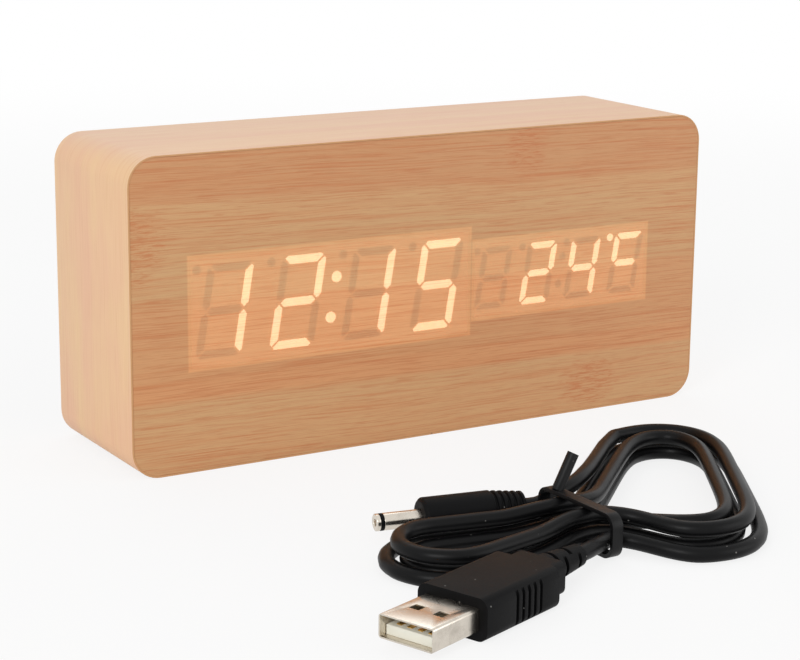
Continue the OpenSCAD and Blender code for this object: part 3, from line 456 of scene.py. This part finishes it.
def frontFinish():
    look = frontLook
    paint = Finish("darkGrainFilm", Specular_IOR_Level=case["filmShine"], Emission_Strength=1.0)
    x, y, z = axes(paint.place)
    height = z + x * look["tilt"] + swing(paint.place, look["sway"]) + swing(paint.place, look["ripple"])
    route = join(x, y, height)
    broad = layer(route, look["broad"]) * look["broad"]["share"]
    ground = blend(broad, *look["groundTones"])
    blur = look["stripEdge"]
    # each band tone is the wood's own band with painted light (lower bands) and painted shade (top band) mixed
    # in
    for low, high, strength, colour in look["stripsWithPaintedLightAndShade"]:
        inside = ease(height, low - blur, low + blur) - ease(height, high - blur, high + blur)
        ground = blend(inside * strength, ground, colour)
        broad = broad + inside * (look["stripBroad"] * strength)
    streak, hair = layer(route, look["streak"]), layer(route, look["hair"])
    fibre = grain(route, *look["fibre"]["grain"])
    lined = laid(ground, layer(route, look["middle"]), look["middle"])
    lined = laid(lined, streak, look["streak"], broad)
    lined = laid(lined, hair, look["hair"], broad)
    lined = laid(lined, layer(route, look["dash"]), look["dash"])
    lined = laid(lined, knotMask(x, z, route), look["knot"], layer(paint.place, look["tick"]))
    lined = laid(lined, ease(fibre, *look["fibre"]["range"]), look["fibre"])
    # painted shade of the closed slit, along the film's edge at the wrap
    seam = 1 - ease(outlineGap(x, z), *look["seam"]["range"])
    relief = fibre * look["fibre"]["relief"] - streak * look["streak"]["relief"]
    relief = relief - hair * look["hair"]["relief"]
    paint.feed("Base Color", laid(lined, seam, look["seam"]))
    paint.feed("Roughness", look["rough"] + fibre * look["roughFibre"])
    paint.feed("Normal", raised(relief, look["depth"]))
    window = most(*(windowMask(x, z, module) for module in modules))
    spill = most(*(spillMask(x, z, module) for module in modules))
    behind = ease(y - boxLow.y, *look["backFace"])
    paint.feed("Emission Color", blend(spill * (1 - window), tone(0, 0, 0), look["spillLight"]))
    paint.feed("Alpha", 1 - window * look["windowShow"] * (1 - behind) - spill * behind)
    return paint.material


# the display behind the film: lit bars, the face of a module with a painted glow, and the bars that are off,
# also with a painted glow
litLook = {
    "strength": 2.6, "rough": 0.6, "tones": (tone(255, 236, 200), tone(255, 231, 190)),
    "cloud": {"grain": ((0.25, 1, 0.25), 2), "range": (0.3, 0.7)},
    "weave": {"grain": ((2.2, 1, 2.2), 2), "range": (0.4, 0.65), "share": 0.25, "tone": tone(244, 208, 154)},
}
faceLook = {
    "strength": 1.5, "rough": 0.6, "roughCloud": 0.2, "skin": (0.5, 0.9), "cloud": ((0.06, 1, 0.06), 3),
    "cloudRange": (0.3, 0.7), "glow": (tone(226, 168, 117), tone(222, 162, 112)),
    "body": tone(70, 66, 62), "face": tone(150, 112, 80),
}
unlitLook = {
    "strength": 1.0, "rough": 0.65, "cloud": ((0.3, 1, 0.3), 3),
    "tones": (tone(120, 104, 90), tone(136, 118, 102)), "glow": (tone(206, 155, 112), tone(212, 160, 115)),
}


def litFinish():
    paint = Finish("litSegment", Roughness=litLook["rough"], Emission_Strength=litLook["strength"])
    warm = blend(layer(paint.place, litLook["cloud"]), *litLook["tones"])
    light = laid(warm, layer(paint.place, litLook["weave"]), litLook["weave"])
    paint.feed("Base Color", light)
    paint.feed("Emission Color", light)
    return paint.material


def faceFinish():
    look = faceLook
    paint = Finish("moduleFace", Emission_Strength=look["strength"])
    cloud = grain(paint.place, *look["cloud"])
    y = axes(paint.place)[1]
    frontFace = 1 - ease(y - boxLow.y, *look["skin"])
    light = blend(ease(cloud, *look["cloudRange"]), *look["glow"])
    paint.feed("Base Color", blend(frontFace, look["body"], look["face"]))
    # painted glow: the module face is not a lamp; its emission stands in for light scattered in the film
    paint.feed("Emission Color", blend(frontFace, tone(0, 0, 0), light))
    paint.feed("Roughness", look["rough"] + cloud * look["roughCloud"])
    return paint.material


def unlitFinish():
    paint = Finish("unlitSegment", Roughness=unlitLook["rough"], Emission_Strength=unlitLook["strength"])
    cloud = grain(paint.place, *unlitLook["cloud"])
    paint.feed("Base Color", blend(cloud, *unlitLook["tones"]))
    # painted glow: the bars that are off give off light as if it were scattered in the film
    paint.feed("Emission Color", blend(cloud, *unlitLook["glow"]))
    return paint.material


# mouldings: a slow cloud and a fine spark, and dust where a piece gathers it
mouldLook = {
    "cloud": ((0.09, 0.09, 0.09), 3), "cloudRange": (0.3, 0.7), "cloudShare": 0.7,
    "sparkDetail": 3, "sparkRough": 0.6, "sparkShare": 0.3,
    "roughBase": -0.07, "roughCloud": 0.1, "roughSpark": 0.05,
    "fleck": (0.33, 0.33, 0.33), "fleckRange": (0.03, 0.07), "dustTone": tone(170, 168, 164),
}


def moulded(name, colour, rough=0.5, texture=0.5, depth=0.02, spread=0.18, dust=0.0, **fixed):
    look = mouldLook
    paint = Finish(name, **fixed)
    cloud = grain(paint.place, *look["cloud"])
    spark = grain(paint.place, (1 / texture,) * 3, look["sparkDetail"], look["sparkRough"])
    deep = tuple(c * (1 - spread) for c in colour[:3]) + (1.0,)
    light = tuple(c * (1 + spread) for c in colour[:3]) + (1.0,)
    mottle = ease(cloud, *look["cloudRange"]) * look["cloudShare"] + spark * look["sparkShare"]
    ground = blend(mottle, deep, light)
    if dust:
        fleck = 1 - ease(cells(paint.place, look["fleck"]), *look["fleckRange"])
        ground = blend(fleck * dust, ground, look["dustTone"])
    paint.feed("Base Color", ground)
    paint.feed("Roughness", rough + look["roughBase"] + cloud * look["roughCloud"] + spark * look["roughSpark"])
    paint.feed("Normal", raised(spark, depth))
    return paint.material


# plated metal: faint lines, and stains in patches
plateLook = {
    "cloud": ((0.16, 0.16, 0.16), 4, 0.6), "stainRange": (0.48, 0.78), "stainTone": tone(88, 74, 60),
    "lineDetail": 3, "lineRough": 0.6, "roughStain": 0.16, "roughLine": 0.08, "depth": 0.006,
}


def plated(name, colour, rough=0.2, brush=(0.4, 0.4, 3.0), stain=0.35, stainTone=plateLook["stainTone"]):
    look = plateLook
    paint = Finish(name, Metallic=1.0)
    patch = ease(grain(paint.place, *look["cloud"]), *look["stainRange"])
    line = grain(paint.place, brush, look["lineDetail"], look["lineRough"])
    paint.feed("Base Color", blend(patch * stain, colour, stainTone))
    paint.feed("Roughness", rough + patch * look["roughStain"] + line * look["roughLine"])
    paint.feed("Normal", raised(line, look["depth"]))
    return paint.material


# raw fibreboard, and the solder mask of the circuit boards with its tracks
fibreLook = {
    "cloud": ((0.25, 0.25, 0.25), 4, 0.65), "cloudShare": 0.6, "cloudRelief": 0.6, "chips": (1.4, 2.6, 1.4),
    "chipShare": 0.5, "tones": (tone(150, 118, 84), tone(196, 164, 124)),
    "rough": 0.78, "roughCloud": 0.15, "depth": 0.12,
}
boardLook = {
    "cloud": ((0.3, 0.3, 0.3), 3), "mask": (tone(14, 72, 38), tone(20, 84, 46)), "coat": 0.2,
    "track": {"grain": ((0.35, 0.2, 0.9), 1), "by": 1.0, "range": (0.012, 0.03), "tone": tone(38, 108, 64)},
    "rough": 0.34, "roughCloud": 0.12, "depth": 0.02,
}


def fibreFinish():
    look = fibreLook
    paint = Finish("fibreboardCore")
    cloud = grain(paint.place, *look["cloud"])
    chip = cells(paint.place, look["chips"])
    paint.feed("Base Color", blend(cloud * look["cloudShare"] + chip * look["chipShare"], *look["tones"]))
    paint.feed("Roughness", look["rough"] + cloud * look["roughCloud"])
    paint.feed("Normal", raised(chip + cloud * look["cloudRelief"], look["depth"]))
    return paint.material


def boardFinish():
    look = boardLook
    paint = Finish("solderMask", Coat_Weight=look["coat"])
    cloud = grain(paint.place, *look["cloud"])
    besideTrack = ease(abs(swing(paint.place, look["track"])), *look["track"]["range"])
    paint.feed("Base Color", blend(besideTrack, look["track"]["tone"], blend(cloud, *look["mask"])))
    paint.feed("Roughness", look["rough"] + cloud * look["roughCloud"])
    paint.feed("Normal", raised(besideTrack, look["depth"]))
    return paint.material


finishes = {
    "wrap": wrapFinish(), "front": frontFinish(), "lit": litFinish(), "unlit": unlitFinish(),
    "face": faceFinish(), "fibre": fibreFinish(), "board": boardFinish(),
    "vinyl": moulded("blackVinyl", tone(36, 36, 38), rough=0.58, texture=0.28, depth=0.03, spread=0.12),
    "zinc": plated("zincScrew", tone(196, 194, 188), rough=0.3),
    "tin": plated("tinnedPin", tone(212, 210, 204), rough=0.24),
    "nylon": moulded("nylonMoulding", tone(232, 228, 212), rough=0.5, texture=0.6, depth=0.01, spread=0.04),
    "chip": moulded("chipResin", tone(34, 34, 36), rough=0.55, texture=0.3, depth=0.015),
    "can": plated("drawnCan", tone(204, 202, 198), rough=0.22, brush=(3.0, 0.4, 3.0)),
    "sleeve": moulded("shrunkSleeve", tone(26, 34, 72), rough=0.3, texture=0.8, depth=0.01),
    "switch": moulded("switchMoulding", tone(44, 44, 46), rough=0.48, texture=0.4, depth=0.012),
    "key": moulded("keyMoulding", tone(58, 58, 60), rough=0.42, texture=0.35, depth=0.014, spread=0.1,
                   dust=0.15),
    "switchCan": plated("foldedCan", tone(196, 196, 194), rough=0.28),
    "tray": moulded("trayMoulding", tone(38, 38, 40), rough=0.55, texture=0.32, depth=0.03, spread=0.12,
                    dust=0.12),
    "nickel": plated("nickelSpring", tone(222, 218, 208), rough=0.18),
    "ribbon": moulded("ribbonGrey", tone(176, 176, 174), rough=0.5, texture=0.5, depth=0.02),
    "red": moulded("redInsulation", tone(176, 30, 28), rough=0.36, texture=0.8, depth=0.01),
    "black": moulded("blackInsulation", tone(26, 26, 26), rough=0.36, texture=0.8, depth=0.01),
    "jacket": moulded("cableJacket", tone(9, 9, 10), rough=0.38, texture=0.7, depth=0.006, spread=0.15,
                      dust=0.5, Specular_IOR_Level=0.14),
    "overmould": moulded("plugOvermould", tone(8, 8, 9), rough=0.56, texture=0.3, depth=0.03, spread=0.14,
                         dust=0.45, Specular_IOR_Level=0.1),
    "shell": plated("plugNickel", tone(214, 206, 194), rough=0.2, brush=(0.5, 0.5, 2.0), stain=0.5),
    "tongue": moulded("tongueWhite", tone(238, 236, 222), rough=0.4, texture=0.8, depth=0.008, spread=0.03),
    "gold": plated("contactGold", tone(222, 178, 96), rough=0.22, stainTone=tone(150, 100, 40)),
    "tie": moulded("tieCoating", tone(12, 12, 13), rough=0.42, texture=0.5, depth=0.02, spread=0.15,
                   dust=0.3, Specular_IOR_Level=0.2),
}
print("finishes mixed:", len(finishes))

worn = {
    "wrap": ["side_wrap"], "front": ["front_film"], "face": modules,
    "fibre": ["case_frame", "front_board", "corner_blocks", "back_board"], "vinyl": ["back_film"],
    "zinc": ["back_screws", "board_screws", "key_screws"], "lit": ["time_segments_lit", "temp_segments_lit"],
    "unlit": ["time_segments_unlit", "temp_segments_unlit"], "tin": ["display_pins", "dc_socket_pin"],
    "board": ["main_board", "key_board"], "nylon": ["board_spacers", "key_posts", "ribbon_plugs"],
    "chip": ["controller_chip", "driver_chip", "thermistor", "coin_cell_holder", "buzzer"],
    "can": ["crystal", "coin_cell", "microphone"], "sleeve": ["capacitors"],
    "switch": ["tact_switches", "set_plunger", "up_plunger", "down_plunger", "sound_slider", "dc_socket"],
    "key": ["set_button", "up_button", "down_button"], "switchCan": ["sound_switch_body"],
    "tray": ["battery_tray", "battery_door"], "nickel": ["battery_springs", "battery_plates"],
    "ribbon": ["key_ribbon"], "red": ["wire_red"], "black": ["wire_black"], "jacket": ["lead_cable"],
    "overmould": ["usb_overmould", "dc_plug_overmould", "dc_plug_insulator"], "tongue": ["usb_tongue"],
    "shell": ["usb_shell", "dc_plug_barrel", "dc_plug_sleeve"], "gold": ["usb_contacts"],
    "tie": ["cable_tie"],
}
finishOf = {node: finishes[name] for name, group in worn.items() for node in group}
for name, item in nodes.items():
    item.data.materials.clear()
    item.data.materials.append(finishOf[name])
supplyLead.data.materials.append(finishes["jacket"])

# rounded copies of the pieces that show, edge width in millimetres
soft = {"side_wrap": 0.12, "front_film": 0.06, "battery_tray": 0.3, "battery_door": 0.25, "set_button": 0.15,
        "up_button": 0.15, "down_button": 0.15, "sound_slider": 0.2, "dc_socket": 0.2, "usb_overmould": 0.5,
        "usb_shell": 0.1, "usb_tongue": 0.15, "dc_plug_overmould": 0.2, "dc_plug_barrel": 0.08,
        "dc_plug_insulator": 0.1, "dc_plug_sleeve": 0.15, "cable_tie": 0.2}
edge = {"sharp": 32, "flat": 0.5, "segments": 3, "weld": 1e-6}
film = {"spread": 0.09, "thinner": 0.03}  # closes the slit at the wrap, and clears the faces behind


def softCopy(node, width):
    shape = bmesh.new()
    shape.from_mesh(nodes[node].data)
    bmesh.ops.remove_doubles(shape, verts=shape.verts, dist=edge["weld"])
    bmesh.ops.dissolve_limit(shape, angle_limit=radians(edge["flat"]), verts=shape.verts, edges=shape.edges)
    if node == "front_film":
        low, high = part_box(node)
        size, face = high - low, Vector(((low.x + high.x) / 2, low.y, (low.z + high.z) / 2))
        wider, thinner = 2 * film["spread"] * mm, film["thinner"] * mm
        stretch = (1 + wider / size.x, 1 - thinner / size.y, 1 + wider / size.z)
        bmesh.ops.scale(shape, vec=stretch, space=Matrix.Translation(-face), verts=shape.verts)
    rims = [e for e in shape.edges if len(e.link_faces) == 2 and e.calc_face_angle() > radians(edge["sharp"])]
    bmesh.ops.bevel(shape, geom=rims, offset=width * mm, offset_type="OFFSET", affect="EDGES",
                    segments=edge["segments"], profile=0.5, material=-1, clamp_overlap=True)
    mesh = bpy.data.meshes.new(node + "_soft")
    shape.to_mesh(mesh)
    shape.free()
    mesh.shade_smooth()
    mesh.set_sharp_from_angle(angle=radians(edge["sharp"]))
    mesh.materials.append(finishOf[node])
    piece = bpy.data.objects.new(node + "_soft", mesh)
    bpy.context.scene.collection.objects.link(piece)
    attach(piece, bodyOf[node])
    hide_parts(node)
    return piece


softPieces = {node: softCopy(node, width) for node, width in soft.items()}
print("edges rounded on", len(softPieces), "pieces")

# floor, lamps and a white surround, in metres
studio = {"floorSize": 8.0, "floor": 0.86, "floorRough": 0.9, "floorShine": 0.1,
          "cloud": ((0.02, 0.02, 0.02), 3), "cloudLift": 1.02, "ambient": 0.62, "whiten": 0.82,
          "fadeFrom": 0.25, "fadeTo": 0.7, "aim": (0, 0, 0.03),
          "lamps": [("key", (-1.1, -0.85, 0.75), 0.5, 7.6), ("fill", (0.9, -1.0, 0.35), 1.0, 4.1),
                    ("rear", (0.3, 1.0, 1.2), 0.8, 2.5)]}  # name, place, size, power


def seenShare(wire):  # one for what the eye, a mirror or glass sees
    path = wire.make("ShaderNodeLightPath").socket.node
    eye, mirror, glass = (Wire(wire.tree, path.outputs["Is " + ray + " Ray"])
                          for ray in ("Camera", "Glossy", "Transmission"))
    return most(most(eye, mirror), glass)


def makeFloor():
    shape = bmesh.new()
    bmesh.ops.create_grid(shape, x_segments=1, y_segments=1, size=studio["floorSize"] / 2)
    mesh = bpy.data.meshes.new("floor")
    shape.to_mesh(mesh)
    shape.free()
    paint = Finish("paleFloor", Roughness=studio["floorRough"], Specular_IOR_Level=studio["floorShine"])
    mesh.materials.append(paint.material)
    floor = bpy.data.objects.new("floor", mesh)
    bpy.context.scene.collection.objects.link(floor)
    pale, paler = studio["floor"], studio["floor"] * studio["cloudLift"]
    cloud = grain(paint.place, *studio["cloud"])
    paint.feed("Base Color", blend(cloud, (pale, pale, pale, 1), (paler, paler, paler, 1)))
    x, y, z = axes(paint.place)
    fade = ease((x * x + y * y) ** 0.5, studio["fadeFrom"] / mm, studio["fadeTo"] / mm)
    white = paint.place.make("ShaderNodeEmission", None, {"Color": (1, 1, 1, 1), "Strength": 1.0})
    share = seenShare(paint.place) * (studio["whiten"] + (1 - studio["whiten"]) * fade)
    shaded = Wire(paint.tree, paint.shader.outputs[0])
    mixed = shaded.make("ShaderNodeMixShader", None, {0: share, 1: shaded, 2: white})
    paint.tree.links.new(mixed.socket, paint.tree.nodes["Material Output"].inputs["Surface"])


def makeLight():
    world = bpy.data.worlds.new("surround")
    bpy.context.scene.world = world
    world.use_nodes = True
    sky = world.node_tree.nodes["Background"]
    strength = studio["ambient"] + seenShare(Wire(world.node_tree)) * (1 - studio["ambient"])
    world.node_tree.links.new(strength.socket, sky.inputs["Strength"])
    sky.inputs["Color"].default_value = (1, 1, 1, 1)
    for name, place, size, power in studio["lamps"]:
        lamp = bpy.data.lights.new(name, "AREA")
        lamp.size = size
        lamp.energy = power
        item = bpy.data.objects.new(name, lamp)
        item.location = place
        item.rotation_euler = (Vector(studio["aim"]) - Vector(place)).to_track_quat("-Z", "Y").to_euler()
        bpy.context.scene.collection.objects.link(item)
    bpy.context.scene.view_settings.view_transform = "Standard"


makeFloor()
makeLight()
print("studio lit")
